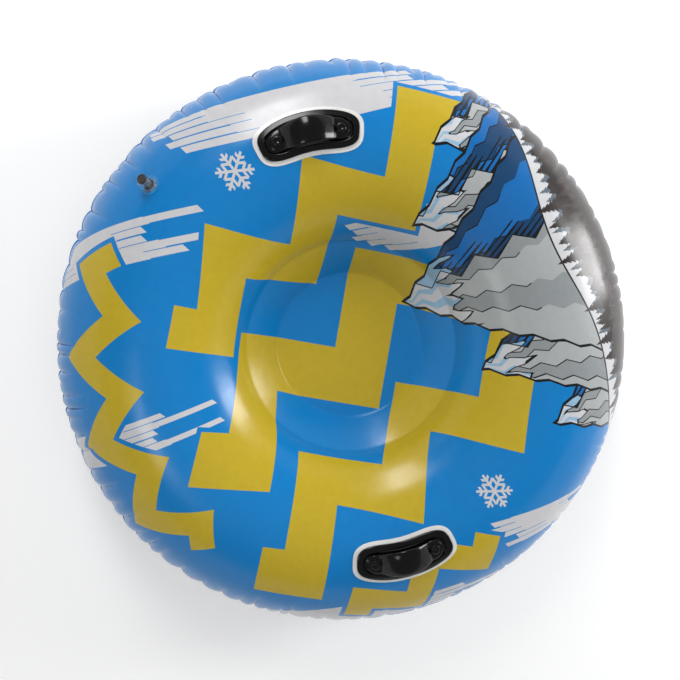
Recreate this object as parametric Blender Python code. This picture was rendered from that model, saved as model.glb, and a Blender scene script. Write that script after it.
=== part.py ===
"""Snow tube: an inflated ring of PVC film with a sunk seat, two moulded grab handles and a stem valve.

Metres, +Z up. The origin is on the ground below the middle of the ring, and the handles lie on the X axis.
Heights in the film's section are counted from the plane of the outer weld seam, halfway up the ring.
"""

import math

import bmesh
import bpy
from mathutils import Matrix, Vector

# Air chamber: the section of the inflated film, from the middle outwards
floor_radius = 0.1275  # inner weld circle, the edge of the seat floor
step_width = 0.053  # from there out to the crease, where the baffle holds both sheets
inner_wall_width = 0.1575  # from the crease out to the circle of the highest points, in plan
outer_wall_width = 0.154  # from there out to the root of the outer weld seam, on its bumps
seam_flange_width = 0.008  # flat welded edge outside the seam
crown_height = 0.138
crease_height = 0.049
band_puff = 0.005  # how far the step band bulges out of a straight cone
pucker_depth = 0.007  # how far the seam draws in between two bumps
pucker_reach = 0.080  # height above the seam where the puckers end
pucker_count = 48
ground_band_width = 0.030  # flat band that the ground presses into the bottom sheet
film_thickness = 0.0006

# Clearances
weld_gap = 0.0003  # between pieces that are welded or lie face to face
film_sag = 0.0003  # how far a flat facet may lie inside the round film

# Seat baffle
baffle_thickness = 0.0008
baffle_margin = 0.0007  # below the crease's inner ridge
window_half_height = 0.022
window_count = 12

# Handles
handle_offset = 0.010  # from the crown circle outwards to the handles' middle
patch_border = 0.008  # white edge that shows round the base
patch_thickness = 0.0006
base_length = 0.161
base_width = 0.062
base_arch = 0.0045  # how much more the bean bends than the ring does
base_thickness = 0.0025
base_rim_height = 0.0052
base_rim_width = 0.012
base_edge_radius = 0.0022
rim_slope_width = 0.0044  # from the rim's top down to the dish
boss_radius = 0.0125
boss_height = 0.0020  # above the dish of the base
grip_width = 0.038
grip_end_width = 0.031
grip_thickness = 0.0070
grip_end_thickness = 0.0040
finger_gap = 0.0150  # between the ends' seats and the middle of the grip
rivet_inset = 0.030  # from an end of the base in to the rivet's axis
pad_reach = 0.013  # of the grip past the rivet's axis
arch_setback = 0.0095  # from the rivet's axis to the foot of the arch
rivet_radius = 0.0042
rivet_clearance = 0.0004
rivet_depth = 0.0026  # how deep the shank sits in its boss
rivet_head_radius = 0.0078
rivet_head_height = 0.0022

# Stem valve
valve_azimuth = math.radians(38.4)  # round the ring, from the +X handle
valve_setback = 0.075  # from the circle of the highest points out to the stem's root, in plan
valve_hole_radius = 0.0094
valve_flange_radius = 0.0160
valve_flange_thickness = 0.0010
collar_radius = 0.0112
collar_height = 0.0032
collar_clearance = 0.0006  # round the widest part of the stem that passes
stem_length = 0.0220  # above the film
stem_radius = 0.0068
stem_bore_radius = 0.0026
lip_radius = 0.0076
lip_height = 0.0026
shoulder_radius = 0.0112
shoulder_height = 0.0024
shoulder_drop = 0.0025  # from the film's outer face to the top of the shoulder
stem_tail = 0.0095  # below the film's outer face
strap_width = 0.0044
strap_thickness = 0.0016
strap_reach = 0.0108  # from the stem's axis to the fold of the strap
cap_radius = 0.0080
cap_height = 0.0030
cap_edge = 0.0007
plug_radius = 0.0020
plug_depth = 0.0032
flap_radius = 0.0036
flap_thickness = 0.0006

# Fineness of the meshes
segments = 2 * pucker_count
handle_points = 28
grip_points = 10
round_points = 20
rivet_points = 12
cut_overrun = 0.002  # how far a cutter passes the face that it opens

# Shares of the quarter turn from the seam up to the crown, and of the turn from there in to the crease
top_outer_shares = (0.12, 0.29, 0.47, 0.64, 0.77, 0.87, 0.94)
top_inner_shares = (0.10, 0.22, 0.45, 0.73)
bottom_outer_shares = (0.12, 0.30, 0.50, 0.70)
bottom_inner_shares = (0.38, 0.68)
band_shares = (0.50,)
bean_inset_shares = (0.90, 0.45)  # of the half width, for the loops inside the bean
grip_pad_shares = (0.96, 0.88, 0.74)  # of the half length
finger_span_shares = (0.50, 0.43, 0.31, 0.16)
rivet_head_shares = ((1.00, 0.33), (0.85, 0.80), (0.45, 1.00))  # of its radius and height
plug_tip_share = 0.8  # of its radius
plug_taper_share = 0.3  # of its depth

# Shapes of the rounded outlines: 2 is an ellipse, more is squarer
bean_squareness = 3.2
grip_squareness = 2.8
arch_fullness = 1.25  # 1 is a cosine arch

# Angles
quarter = math.pi / 2
sharp_angle = math.radians(40)

# Sizes worked out from the ones above
crease_radius = floor_radius + step_width
crown_radius = crease_radius + inner_wall_width
seam_radius = crown_radius + outer_wall_width
valve_radius = crown_radius + valve_setback
crease_angle = math.asin(crease_height / crown_height)
inner_reach = inner_wall_width / math.cos(crease_angle)
sheet_face = weld_gap / 2 + film_thickness  # outer face of a sheet where both lie together
patch_seat = film_sag + weld_gap
base_seat = patch_seat + patch_thickness + weld_gap
dish_top = base_seat + base_thickness
boss_top = dish_top + boss_height
grip_seat = boss_top + weld_gap
rivet_spacing = base_length - 2 * rivet_inset
grip_length = rivet_spacing + 2 * pad_reach
finger_span = rivet_spacing - 2 * arch_setback
rivet_hole_radius = rivet_radius + rivet_clearance
flange_seat = film_sag + weld_gap
valve_turn = math.acos(valve_setback / outer_wall_width)


def clear_scene():
    """Removes every object of the open file."""
    for thing in list(bpy.data.objects):
        bpy.data.objects.remove(thing, do_unlink=True)


def finish_of(name, colour, roughness, transmission=0.0):
    """A plain Principled material."""
    material = bpy.data.materials.new(name)
    material.use_nodes = True
    shader = material.node_tree.nodes["Principled BSDF"]
    shader.inputs["Base Color"].default_value = (*colour, 1.0)
    shader.inputs["Roughness"].default_value = roughness
    shader.inputs["Metallic"].default_value = 0.0
    shader.inputs["Transmission Weight"].default_value = transmission
    material.diffuse_color = (*colour, 1.0)
    return material


def solid(name, bm, material, place=None):
    """One object from a bmesh, faces pointing out and round stretches shaded smooth."""
    bmesh.ops.recalc_face_normals(bm, faces=bm.faces)
    mesh = bpy.data.meshes.new(name)
    bm.to_mesh(mesh)
    bm.free()
    mesh.materials.append(material)
    mesh.shade_smooth()
    mesh.set_sharp_from_angle(angle=sharp_angle)
    thing = bpy.data.objects.new(name, mesh)
    if place is not None:
        thing.matrix_world = place
    bpy.context.scene.collection.objects.link(thing)
    return thing


def stack(bm, loops):
    """Joins closed loops of points, all of one count, and caps both ends."""
    rings = [[bm.verts.new(point) for point in loop] for loop in loops]
    count = len(rings[0])
    for lower, upper in zip(rings, rings[1:]):
        for k in range(count):
            after = (k + 1) % count
            bm.faces.new((lower[k], lower[after], upper[after], upper[k]))
    bm.faces.new(rings[0])
    bm.faces.new(rings[-1])


def turned(bm, profile, points, bore=False):
    """A solid turned about Z from (radius, height) pairs. With a bore the profile closes on itself."""
    rings = []
    for radius, height in profile:
        angles = (2 * math.pi * k / points for k in range(points))
        rings.append([bm.verts.new((radius * math.cos(a), radius * math.sin(a), height)) for a in angles])
    pairs = list(zip(rings, rings[1:]))
    if bore:
        pairs.append((rings[-1], rings[0]))
    else:
        bm.faces.new(rings[0])
        bm.faces.new(rings[-1])
    for lower, upper in pairs:
        for k in range(points):
            after = (k + 1) % points
            bm.faces.new((lower[k], lower[after], upper[after], upper[k]))


def guide(name, bm, place=None):
    """A mesh that only cuts or joins another object."""
    tool = solid(name, bm, bpy.data.materials["guide"], place)
    tool.hide_render = True
    tool.display_type = "WIRE"
    return tool


def boolean(thing, tool, operation):
    """Adds an exact Boolean modifier."""
    modifier = thing.modifiers.new(tool.name, "BOOLEAN")
    modifier.operation = operation
    modifier.object = tool
    modifier.solver = "EXACT"


# Film


def wall_point(turn):
    """Radius and height of the inflated film, a quarter turn being the crown."""
    reach = outer_wall_width if turn <= quarter else inner_reach
    return crown_radius + reach * math.cos(turn), crown_height * math.sin(turn)


def wall_normal(turn):
    """Radial and upward parts of the film's outward normal."""
    reach = outer_wall_width if turn <= quarter else inner_reach
    radial, upward = math.cos(turn) / reach, math.sin(turn) / crown_height
    length = math.hypot(radial, upward)
    return radial / length, upward / length


def step_band():
    """Points of the bulging band between the crease and the seat floor."""
    start = Vector((crease_radius, crease_height))
    chord = Vector((floor_radius, sheet_face)) - start
    bulge = Vector((chord.y, -chord.x)).normalized() * band_puff
    return [tuple(start + chord * share + bulge * 4 * share * (1 - share)) for share in band_shares]


def sheet_profile(outer_shares, inner_shares, crown):
    """Section of one sheet from the edge of its weld flange to the seat floor."""
    inner_turn = quarter - crease_angle
    profile = [(seam_radius + seam_flange_width, sheet_face), (seam_radius, sheet_face)]
    profile += [wall_point(quarter * share) for share in outer_shares]
    profile += crown
    profile += [wall_point(quarter + inner_turn * share) for share in inner_shares]
    profile += [(crease_radius, crease_height)]
    profile += step_band()
    profile += [(floor_radius, sheet_face)]
    return profile


def film_sheet(name, profile, side, material):
    """One sheet of film, side 1 for the top and -1 for the bottom, puckered along its seam."""
    bm = bmesh.new()
    rings = []
    for radius, height in profile:
        fade = max(0.0, 1 - height / pucker_reach) ** 2 if radius > crown_radius else 0.0
        ring = []
        for k in range(segments):
            drawn_in = radius - pucker_depth * fade * (k % 2)
            angle = 2 * math.pi * k / segments
            place = (drawn_in * math.cos(angle), drawn_in * math.sin(angle), crown_height + side * height)
            ring.append(bm.verts.new(place))
        rings.append(ring)
    for outer, inner in zip(rings, rings[1:]):
        for k in range(segments):
            after = (k + 1) % segments
            corners = (outer[k], outer[after], inner[after], inner[k])
            bm.faces.new(corners if side > 0 else corners[::-1])
    bm.faces.new(rings[-1] if side > 0 else rings[-1][::-1])

    mesh = bpy.data.meshes.new(name)
    bm.to_mesh(mesh)
    bm.free()
    mesh.materials.append(material)
    mesh.shade_smooth()
    mesh.set_sharp_from_angle(angle=sharp_angle)
    sheet = bpy.data.objects.new(name, mesh)
    bpy.context.scene.collection.objects.link(sheet)
    skin = sheet.modifiers.new("film", "SOLIDIFY")
    skin.thickness = film_thickness
    skin.offset = -1
    skin.use_even_offset = True
    return sheet


def make_top_sheet(material):
    """Printed sheet with the hole for the valve."""
    profile = sheet_profile(top_outer_shares, top_inner_shares, [wall_point(quarter)])
    sheet = film_sheet("top_sheet", profile, 1, material)
    bm = bmesh.new()
    reach = valve_flange_radius
    turned(bm, [(valve_hole_radius, -reach), (valve_hole_radius, reach)], round_points)
    boolean(sheet, guide("valve_hole", bm, valve_frame()), "DIFFERENCE")


def make_bottom_sheet(material):
    """Plain sheet, pressed flat where it rests on the ground."""
    half_band = ground_band_width / 2
    crown = [(crown_radius + half_band, crown_height), (crown_radius - half_band, crown_height)]
    profile = sheet_profile(bottom_outer_shares, bottom_inner_shares, crown)
    film_sheet("bottom_sheet", profile, -1, material)


def make_baffle(material):
    """Upright band inside the chamber, between the two creases, with windows that let the air through."""
    top = crease_height - film_thickness - baffle_margin
    levels = (-top, -window_half_height, window_half_height, top)
    count = segments // 2
    every = count // window_count
    bm = bmesh.new()
    rings = []
    for level in levels:
        ring = []
        for k in range(count):
            angle = 2 * math.pi * k / count
            place = (crease_radius * math.cos(angle), crease_radius * math.sin(angle), crown_height + level)
            ring.append(bm.verts.new(place))
        rings.append(ring)
    for row, (lower, upper) in enumerate(zip(rings, rings[1:])):
        for k in range(count):
            if row == 1 and k % every == 0:
                continue
            after = (k + 1) % count
            bm.faces.new((lower[k], lower[after], upper[after], upper[k]))
    mesh = bpy.data.meshes.new("seat_baffle")
    bm.to_mesh(mesh)
    bm.free()
    mesh.materials.append(material)
    baffle = bpy.data.objects.new("seat_baffle", mesh)
    bpy.context.scene.collection.objects.link(baffle)
    skin = baffle.modifiers.new("film", "SOLIDIFY")
    skin.thickness = baffle_thickness
    skin.offset = 1
    skin.use_even_offset = True


# Handles


def over_crown(side, along, across, height):
    """Point over the crown: along the ring, across it outwards, above the film. side 1 is the +X handle."""
    reach = outer_wall_width if across > 0 else inner_reach
    turn = quarter - across / reach
    radius, level = wall_point(turn)
    radial, upward = wall_normal(turn)
    radius += height * radial
    azimuth = along / (crown_radius + handle_offset)
    x, y = radius * math.cos(azimuth), radius * math.sin(azimuth)
    return Vector((side * x, side * y, crown_height + level + height * upward))


def handle_frame(side, along):
    """Axes along, across and out of the film on the middle line of a handle."""
    across = arch_at(along)
    origin = over_crown(side, along, across, 0)
    out = (over_crown(side, along, across, base_rim_height) - origin).normalized()
    tangent = (over_crown(side, along + base_rim_height, across, 0) - origin).normalized()
    sideways = out.cross(tangent).normalized()
    tangent = sideways.cross(out)
    frame = Matrix((tangent, sideways, out)).transposed().to_4x4()
    frame.translation = origin
    return frame


def arch_at(along):
    """How far the bean's middle line lies outside the crown circle."""
    return handle_offset + base_arch / 2 * math.cos(2 * math.pi * along / base_length)


def bean_loop(side, inset, height):
    """One closed loop of the bean outline, set in from the base's edge, at a height above the film."""
    loop = []
    for k in range(handle_points):
        angle = 2 * math.pi * k / handle_points
        cosine, sine = math.cos(angle), math.sin(angle)
        power = 2 / bean_squareness
        along = (base_length / 2 - inset) * math.copysign(abs(cosine) ** power, cosine)
        across = (base_width / 2 - inset) * math.copysign(abs(sine) ** power, sine)
        loop.append(over_crown(side, along, across + arch_at(along), height))
    return loop


def make_patch(name, side, material):
    """White film patch between the sheet and the base."""
    low, high = patch_seat, patch_seat + patch_thickness
    bm = bmesh.new()
    insets = [share * base_width / 2 for share in bean_inset_shares] + [-patch_border]
    loops = [bean_loop(side, inset, low) for inset in insets]
    loops += [bean_loop(side, inset, high) for inset in reversed(insets)]
    stack(bm, loops)
    solid(name, bm, material)


def make_base(name, side, material):
    """Bean-shaped base: a thin dish with a rounded rim, and a bored boss under each end of the grip."""
    middle, half = (share * base_width / 2 for share in bean_inset_shares)
    rim_top = base_seat + base_rim_height
    round_off = base_edge_radius / 2
    steps = [(middle, base_seat), (half, base_seat), (round_off, base_seat)]
    steps += [(0, base_seat + round_off), (round_off, rim_top - base_edge_radius)]
    steps += [(base_edge_radius + round_off, rim_top), (base_rim_width - rim_slope_width, rim_top)]
    steps += [(base_rim_width, dish_top), (middle, dish_top)]
    bm = bmesh.new()
    stack(bm, [bean_loop(side, inset, height) for inset, height in steps])
    base = solid(name, bm, material)

    sink = base_thickness / 2
    for end in (-1, 1):
        place = handle_frame(side, end * rivet_spacing / 2)
        bm = bmesh.new()
        profile = [(boss_radius, dish_top - sink), (boss_radius, boss_top)]
        turned(bm, profile, rivet_points)
        boolean(base, guide(f"{name}_boss_{end}", bm, place), "UNION")
    for end in (-1, 1):
        place = handle_frame(side, end * rivet_spacing / 2)
        bm = bmesh.new()
        bottom = boss_top - rivet_depth - weld_gap
        profile = [(rivet_hole_radius, bottom), (rivet_hole_radius, boss_top + cut_overrun)]
        turned(bm, profile, rivet_points)
        boolean(base, guide(f"{name}_bore_{end}", bm, place), "DIFFERENCE")


def grip_section(along):
    """Width, underside and thickness of the grip at a distance along it."""
    lift = math.cos(min(abs(along) / finger_span, 0.5) * math.pi) ** (1 / arch_fullness)
    width = grip_end_width + (grip_width - grip_end_width) * lift
    thickness = grip_end_thickness + (grip_thickness - grip_end_thickness) * lift
    end = grip_length / 2 - grip_end_width / 2
    past = (abs(along) - end) / (grip_end_width / 2)
    if past > 0:
        width *= math.sqrt(max(0.0, 1 - past * past))
    return width, grip_seat + finger_gap * lift, thickness


def make_grip(name, side, material):
    """Broad arched grip with a pierced round pad at each end."""
    stations = [share * grip_length / 2 for share in grip_pad_shares]
    stations += [share * finger_span for share in finger_span_shares]
    stations = [-station for station in stations] + [0.0] + stations[::-1]
    power = 2 / grip_squareness
    loops = []
    for along in stations:
        width, underside, thickness = grip_section(along)
        loop = []
        for k in range(grip_points):
            angle = 2 * math.pi * (k + 0.5) / grip_points
            cosine, sine = math.cos(angle), math.sin(angle)
            across = width / 2 * math.copysign(abs(cosine) ** power, cosine)
            height = underside + thickness / 2 * (1 + math.copysign(abs(sine) ** power, sine))
            loop.append(over_crown(side, along, arch_at(along) + across, height))
        loops.append(loop)
    bm = bmesh.new()
    stack(bm, loops)
    grip = solid(name, bm, material)
    for end in (-1, 1):
        place = handle_frame(side, end * rivet_spacing / 2)
        bm = bmesh.new()
        top = grip_seat + grip_end_thickness
        profile = [(rivet_hole_radius, grip_seat - cut_overrun), (rivet_hole_radius, top + cut_overrun)]
        turned(bm, profile, rivet_points)
        boolean(grip, guide(f"{name}_hole_{end}", bm, place), "DIFFERENCE")


def make_rivet(name, side, end, material):
    """Push rivet that holds one end of a grip: a shank in its boss and a domed head on the grip."""
    head = grip_seat + grip_end_thickness + weld_gap
    profile = [(rivet_radius, boss_top - rivet_depth), (rivet_radius, head), (rivet_head_radius, head)]
    for wide, high in rivet_head_shares:
        profile.append((wide * rivet_head_radius, head + high * rivet_head_height))
    bm = bmesh.new()
    turned(bm, profile, rivet_points)
    solid(name, bm, material, handle_frame(side, end * rivet_spacing / 2))


# Valve


def valve_frame():
    """Axes along the ring, across it and out of the film at the valve."""
    radius, level = wall_point(valve_turn)
    radial, upward = wall_normal(valve_turn)
    cosine, sine = math.cos(valve_azimuth), math.sin(valve_azimuth)
    out = Vector((radial * cosine, radial * sine, upward))
    tangent = Vector((-sine, cosine, 0))
    frame = Matrix((tangent, out.cross(tangent), out)).transposed().to_4x4()
    frame.translation = Vector((radius * cosine, radius * sine, crown_height + level))
    return frame


def film_drop(along, across):
    """How far the round film falls below its tangent plane at the valve."""
    radial = wall_normal(valve_turn)[0]
    round_ring = valve_radius / radial
    sine, cosine = math.sin(valve_turn), math.cos(valve_turn)
    speed = math.hypot(outer_wall_width * sine, crown_height * cosine)
    round_section = speed**3 / (outer_wall_width * crown_height)
    return along**2 / (2 * round_ring) + across**2 / (2 * round_section)


def make_valve_flange(material):
    """Ring welded on the sheet, with a short collar that guides the stem."""
    bore = lip_radius + collar_clearance
    top = flange_seat + valve_flange_thickness
    following = [(bore, flange_seat), (valve_flange_radius, flange_seat), (valve_flange_radius, top)]
    rings = [(radius, height, True) for radius, height in following]
    rings += [(collar_radius, top, True), (collar_radius, flange_seat + collar_height, False)]
    rings += [(bore, flange_seat + collar_height, False)]
    bm = bmesh.new()
    loops = []
    for radius, height, follows in rings:
        loop = []
        for k in range(round_points):
            angle = 2 * math.pi * k / round_points
            along, across = radius * math.cos(angle), radius * math.sin(angle)
            drop = film_drop(along, across) if follows else 0
            loop.append(bm.verts.new((along, across, height - drop)))
        loops.append(loop)
    for inner, outer in zip(loops, loops[1:] + loops[:1]):
        for k in range(round_points):
            after = (k + 1) % round_points
            bm.faces.new((inner[k], inner[after], outer[after], outer[k]))
    solid("valve_flange", bm, material, valve_frame())


def box(bm, low, high):
    """An upright box between two corners."""
    made = bmesh.ops.create_cube(bm, size=1)["verts"]
    low, high = Vector(low), Vector(high)
    scale = Matrix.Diagonal((*(high - low), 1))
    bmesh.ops.transform(bm, matrix=Matrix.Translation((low + high) / 2) @ scale, verts=made)


def make_stem(material):
    """Soft tube with a lip, a shoulder that stops it under the film, and a lug for the cap's strap."""
    shoulder_top = -shoulder_drop
    shoulder_low = shoulder_top - shoulder_height
    lip_low = stem_length - lip_height
    profile = [
        (stem_bore_radius, -stem_tail),
        (stem_radius, -stem_tail),
        (stem_radius, shoulder_low),
        (shoulder_radius, shoulder_low),
        (shoulder_radius, shoulder_top),
        (stem_radius, shoulder_top),
        (stem_radius, lip_low - lip_radius + stem_radius),
        (lip_radius, lip_low),
        (lip_radius, stem_length),
        (stem_bore_radius, stem_length),
    ]
    bm = bmesh.new()
    turned(bm, profile, round_points, bore=True)
    stem = solid("valve_stem", bm, material, valve_frame())
    bm = bmesh.new()
    low = (stem_radius, -strap_width / 2, stem_length - strap_thickness - weld_gap)
    box(bm, low, (strap_reach - weld_gap, strap_width / 2, stem_length - weld_gap))
    boolean(stem, guide("strap_lug", bm, valve_frame()), "UNION")


def make_cap(material):
    """Cap with a short plug and the leaf of its strap."""
    seat = stem_length + weld_gap
    top = seat + cap_height
    profile = [
        (plug_radius * plug_tip_share, stem_length - plug_depth),
        (plug_radius, stem_length - plug_depth * (1 - plug_taper_share)),
        (plug_radius, seat),
        (cap_radius - cap_edge, seat),
        (cap_radius, seat + cap_edge),
        (cap_radius, top - cap_edge),
        (cap_radius - cap_edge, top),
    ]
    bm = bmesh.new()
    turned(bm, profile, round_points)
    cap = solid("valve_cap", bm, material, valve_frame())
    bm = bmesh.new()
    low = (cap_radius - 2 * cap_edge, -strap_width / 2, seat + cap_edge / 2)
    box(bm, low, (strap_reach - weld_gap, strap_width / 2, seat + cap_edge / 2 + strap_thickness))
    boolean(cap, guide("strap_leaf", bm, valve_frame()), "UNION")


def make_flap(material):
    """Round flap that shuts the inner end of the stem, with its root at one side."""
    top = -stem_tail - weld_gap
    profile = [(flap_radius, top - flap_thickness), (flap_radius, top)]
    bm = bmesh.new()
    turned(bm, profile, round_points)
    solid("check_flap", bm, material, valve_frame())


clear_scene()
finish_of("guide", (0.5, 0.5, 0.5), 0.5)
print_film = finish_of("printed_film", (0.006, 0.235, 0.66), 0.12)
plain_film = finish_of("plain_film", (0.012, 0.05, 0.16), 0.2)
clear_film = finish_of("clear_film", (0.75, 0.76, 0.76), 0.2)
white_film = finish_of("white_film", (0.78, 0.78, 0.77), 0.2)
black_vinyl = finish_of("black_vinyl", (0.006, 0.006, 0.006), 0.12)
clear_vinyl = finish_of("clear_vinyl", (0.55, 0.56, 0.56), 0.15, 0.6)
cap_vinyl = finish_of("cap_vinyl", (0.05, 0.04, 0.035), 0.3)

make_top_sheet(print_film)
make_bottom_sheet(plain_film)
make_baffle(clear_film)
for word, side in (("right", 1), ("left", -1)):
    make_patch(f"handle_patch_{word}", side, white_film)
    make_base(f"handle_base_{word}", side, black_vinyl)
    make_grip(f"handle_grip_{word}", side, black_vinyl)
    make_rivet(f"handle_rivet_{word}_front", side, side, black_vinyl)
    make_rivet(f"handle_rivet_{word}_back", side, -side, black_vinyl)
make_valve_flange(clear_vinyl)
make_stem(clear_vinyl)
make_cap(cap_vinyl)
make_flap(clear_vinyl)
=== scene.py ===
"""Looks of the snow tube: puckered printed film, glossy moulded handles and a clear stem valve.

Metres, +Z up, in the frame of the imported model. Heights in the film's section are counted from the plane of
the outer weld seam. The print is laid out on the flat sheet: x to the right and y to the top of the picture,
and a point's distance from the middle is measured along the film.
"""

import random
from functools import partial
from math import acos, asin, atan, copysign, cos, hypot, pi, radians, sin, sqrt, tau

import bmesh
import bpy
import numpy as np
from mathutils import Matrix, Vector


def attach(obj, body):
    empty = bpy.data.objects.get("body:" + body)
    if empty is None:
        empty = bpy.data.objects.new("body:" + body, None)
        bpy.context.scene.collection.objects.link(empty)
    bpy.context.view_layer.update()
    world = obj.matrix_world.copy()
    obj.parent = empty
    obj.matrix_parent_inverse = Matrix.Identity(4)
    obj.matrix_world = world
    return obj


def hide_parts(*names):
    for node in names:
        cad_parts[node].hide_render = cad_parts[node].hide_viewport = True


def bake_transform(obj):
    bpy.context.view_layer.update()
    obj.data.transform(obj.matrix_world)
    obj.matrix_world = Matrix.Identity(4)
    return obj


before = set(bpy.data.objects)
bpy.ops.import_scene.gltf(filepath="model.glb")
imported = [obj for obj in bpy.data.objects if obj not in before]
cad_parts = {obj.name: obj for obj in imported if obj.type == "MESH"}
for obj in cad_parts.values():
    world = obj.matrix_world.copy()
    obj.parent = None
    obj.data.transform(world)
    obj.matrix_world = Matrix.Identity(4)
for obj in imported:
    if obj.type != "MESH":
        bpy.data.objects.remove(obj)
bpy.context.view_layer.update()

# Section of the film, from the middle outwards
floor_radius = 0.1275  # inner weld circle
crease_radius = 0.1805  # where the baffle holds the sheets
crown_radius = 0.338
seam_root_radius = 0.4945  # where the two sheets meet, on the bumps
seam_edge_radius = 0.4995
crown_height = 0.138
crease_height = 0.049
band_puff = 0.0008  # bulge of the step between the floor and the crease
film_thickness = 0.0006
sheet_gap = 0.00006
floor_face = film_thickness + sheet_gap / 2  # outer face of the sheets where they lie together
outer_wall_width = 0.154
crease_angle = asin(crease_height / crown_height)
inner_reach = (crown_radius - crease_radius) / cos(crease_angle)
ground_rise = 1.0047  # how far the bottom's round would pass the ground, as a share of its height
ring_rounding = 0.0014  # radius by which a weld line is rounded

# How the section is drawn and cut into rows, with steps in metres
swell_power = 6  # how late the wall draws out to the seam
band_points, wall_points = 150, 900
floor_step, flange_step, drawn_step = 0.0005, 0.0003, 0.0004
rounding_points = 12  # on each side, that the rounding of a weld line takes in
seam_inset = 0.0005  # from the seam's root in to where the puckers are counted from
first_row, shortest_row = 0.03, 0.0008
weld_step, weld_growth, widest_step = 0.0013, 0.36, 0.0115
pucker_step, pucker_growth, seam_step = 0.0042, 0.045, 0.0016
pucker_zone, fold_zone, seam_zone = 0.13, 0.03, 0.012  # how far before the seam the closer rows begin

# Puckers, ripples and the sag of the outline
pucker_count = 104
pucker_widths, pucker_depths = (0.55, 1.5), (0.55, 1.0)  # shares, drawn for each
columns_per_pucker = 9
coarse_step = 3  # one column in three goes on inside the puckers
pucker_depth = 0.0130
pucker_lengths = (0.045, 0.125)
pucker_rise = 0.028  # from the seam to where a crease is deepest
pucker_root = 0.4  # depth of a crease at the seam, as a share of its full depth
pucker_fade = 0.9  # power by which a crease runs out inwards
pucker_power, pucker_power_gain = 0.36, 0.26  # of a crease's sides: at its inner end, and added at the seam
pucker_calm = 0.7  # share by which the creases are shallower on the smooth side
seam_wave, seam_wander = 0.0030, 0.0015
wave_reach, wander_reach = 0.05, 0.07  # how far these two go into the film
flange_wave = 0.5  # share by which both grow across the seam's flange
flange_width, flat_margin = 0.005, 0.004
ripple_height = 0.000352  # of the mean of these waves, which have a rate per metre, a heading and a phase
ripples = ((41.0, 0.3, 0.4), (29.0, 1.9, 2.0), (53.0, -0.8, 4.1), (37.0, 2.6, 5.3))
oval_reach = 0.0036  # how much wider than high the tube is in the picture
smooth_angle = 60  # edges sharper than this many degrees stay sharp

# Directions in the plane of the ring
picture_top = radians(-12.9)  # azimuth that points up in the picture
picture_right = picture_top - pi / 2
quarter = pi / 2

# Handles
handle_offset = 0.010  # of the middle line, outside the crown
base_length, base_width, base_arch = 0.161, 0.062, 0.0045
bean_points, bean_squareness = 112, 3.2  # 2 is an ellipse
strips = (0.97, 0.6, 0.2)  # where the strips of a flat face lie, as shares of the half width
patch_border = 0.0066
film_seat = 0.00035  # above the film, clear of its ripples
patch_top = 0.0009
dish_height = 0.0036
rim_height = 0.0064
rim_profile = (  # distance in from the edge, and depth below the ridge, over a broad gentle outer slope
    (0.0001, 0.0034), (0.0002, 0.0022), (0.0005, 0.0015), (0.0012, 0.0010), (0.0022, 0.0008),
    (0.0045, 0.0005), (0.0068, 0.0002), (0.0082, 0.00005), (0.0092, 0.0), (0.0098, 0.0002),
    (0.0104, 0.0007), (0.0110, 0.0016), (0.0116, 0.0024),
)
dish_inset = 0.0126
dish_rings = (0, 0.12, 0.25, 0.38, 0.5, 0.62, 0.74, 0.86, 0.97)
boss_radius, boss_slope, boss_top = 0.0125, 0.006, 0.0058
grip_seat = 0.0060
grip_length, grip_width, grip_end_width = 0.127, 0.038, 0.031
grip_thickness, grip_end_thickness, grip_crown = 0.0070, 0.0040, 0.0010
grip_sides, grip_squareness = 36, 0.62  # 1 is an ellipse
finger_gap, finger_span = 0.0150, 0.082
grip_lean = 0.0028  # how far the middle of the arch stands nearer the middle of the ring
end_stations = (0.996, 0.985, 0.965, 0.935, 0.895, 0.84, 0.77, 0.70)  # shares of the grip's half length
arch_stations = (0.5, 0.49, 0.475, 0.455, 0.43, 0.40, 0.36, 0.31, 0.26, 0.20, 0.14, 0.07)  # of the span
rivet_spacing, rivet_radius, rivet_head_radius, rivet_head_height = 0.101, 0.0042, 0.0078, 0.0026
rivet_play, rivet_depth, bore_depth, bore_rise = 0.0002, 0.0026, 0.0030, 0.004

# Stem valve
valve_azimuth = radians(38.4)
valve_setback = 0.075  # outside the crown
valve_turn = acos(valve_setback / outer_wall_width)
valve_foot = [(crown_radius + valve_setback) * part(valve_azimuth) for part in (cos, sin)]
valve_calm, valve_calm_edge = 0.025, 0.05  # radius that the ripples leave flat, and the width of its edge
stem_length, stem_radius, stem_bore_radius = 0.0220, 0.0068, 0.0026
stem_inner_end = -0.0095
shoulder_radius, shoulder_low, shoulder_high = 0.0112, -0.0049, -0.0025
valve_hole_radius = 0.0094
collar_bore_radius = 0.0082
disc_profile = (  # radius, height, and how far the point follows the round of the film
    (collar_bore_radius, 0.0005, 1), (0.0158, 0.0005, 1), (0.0160, 0.0008, 1), (0.0158, 0.0012, 1),
    (0.0150, 0.0014, 1), (0.0145, 0.0012, 1), (0.0140, 0.0014, 1), (0.0135, 0.0012, 1),
    (0.0130, 0.0014, 1), (0.0122, 0.0014, 1), (0.0116, 0.0017, 0.7), (0.0113, 0.0023, 0.3),
    (0.0111, 0.0033, 0), (0.0107, 0.0037, 0), (0.0098, 0.0039, 0), (0.0088, 0.0038, 0),
    (0.0083, 0.0034, 0), (collar_bore_radius, 0.0028, 0),
)
welded_radius = 0.0119  # outside it the disc is welded to the print
strap_fold, strap_half_width, strap_half_thickness = 0.0092, 0.0022, 0.0006
flap_radius, flap_thickness = 0.0036, 0.0007

# Baffle: its windows are rounded squares between the ties
baffle_thickness, baffle_gap = 0.0008, 0.0009
baffle_columns, baffle_rows = 288, 17
window_spacing, window_half_width, window_half_height = 24, 4.6, 0.026  # the first two in columns


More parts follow.
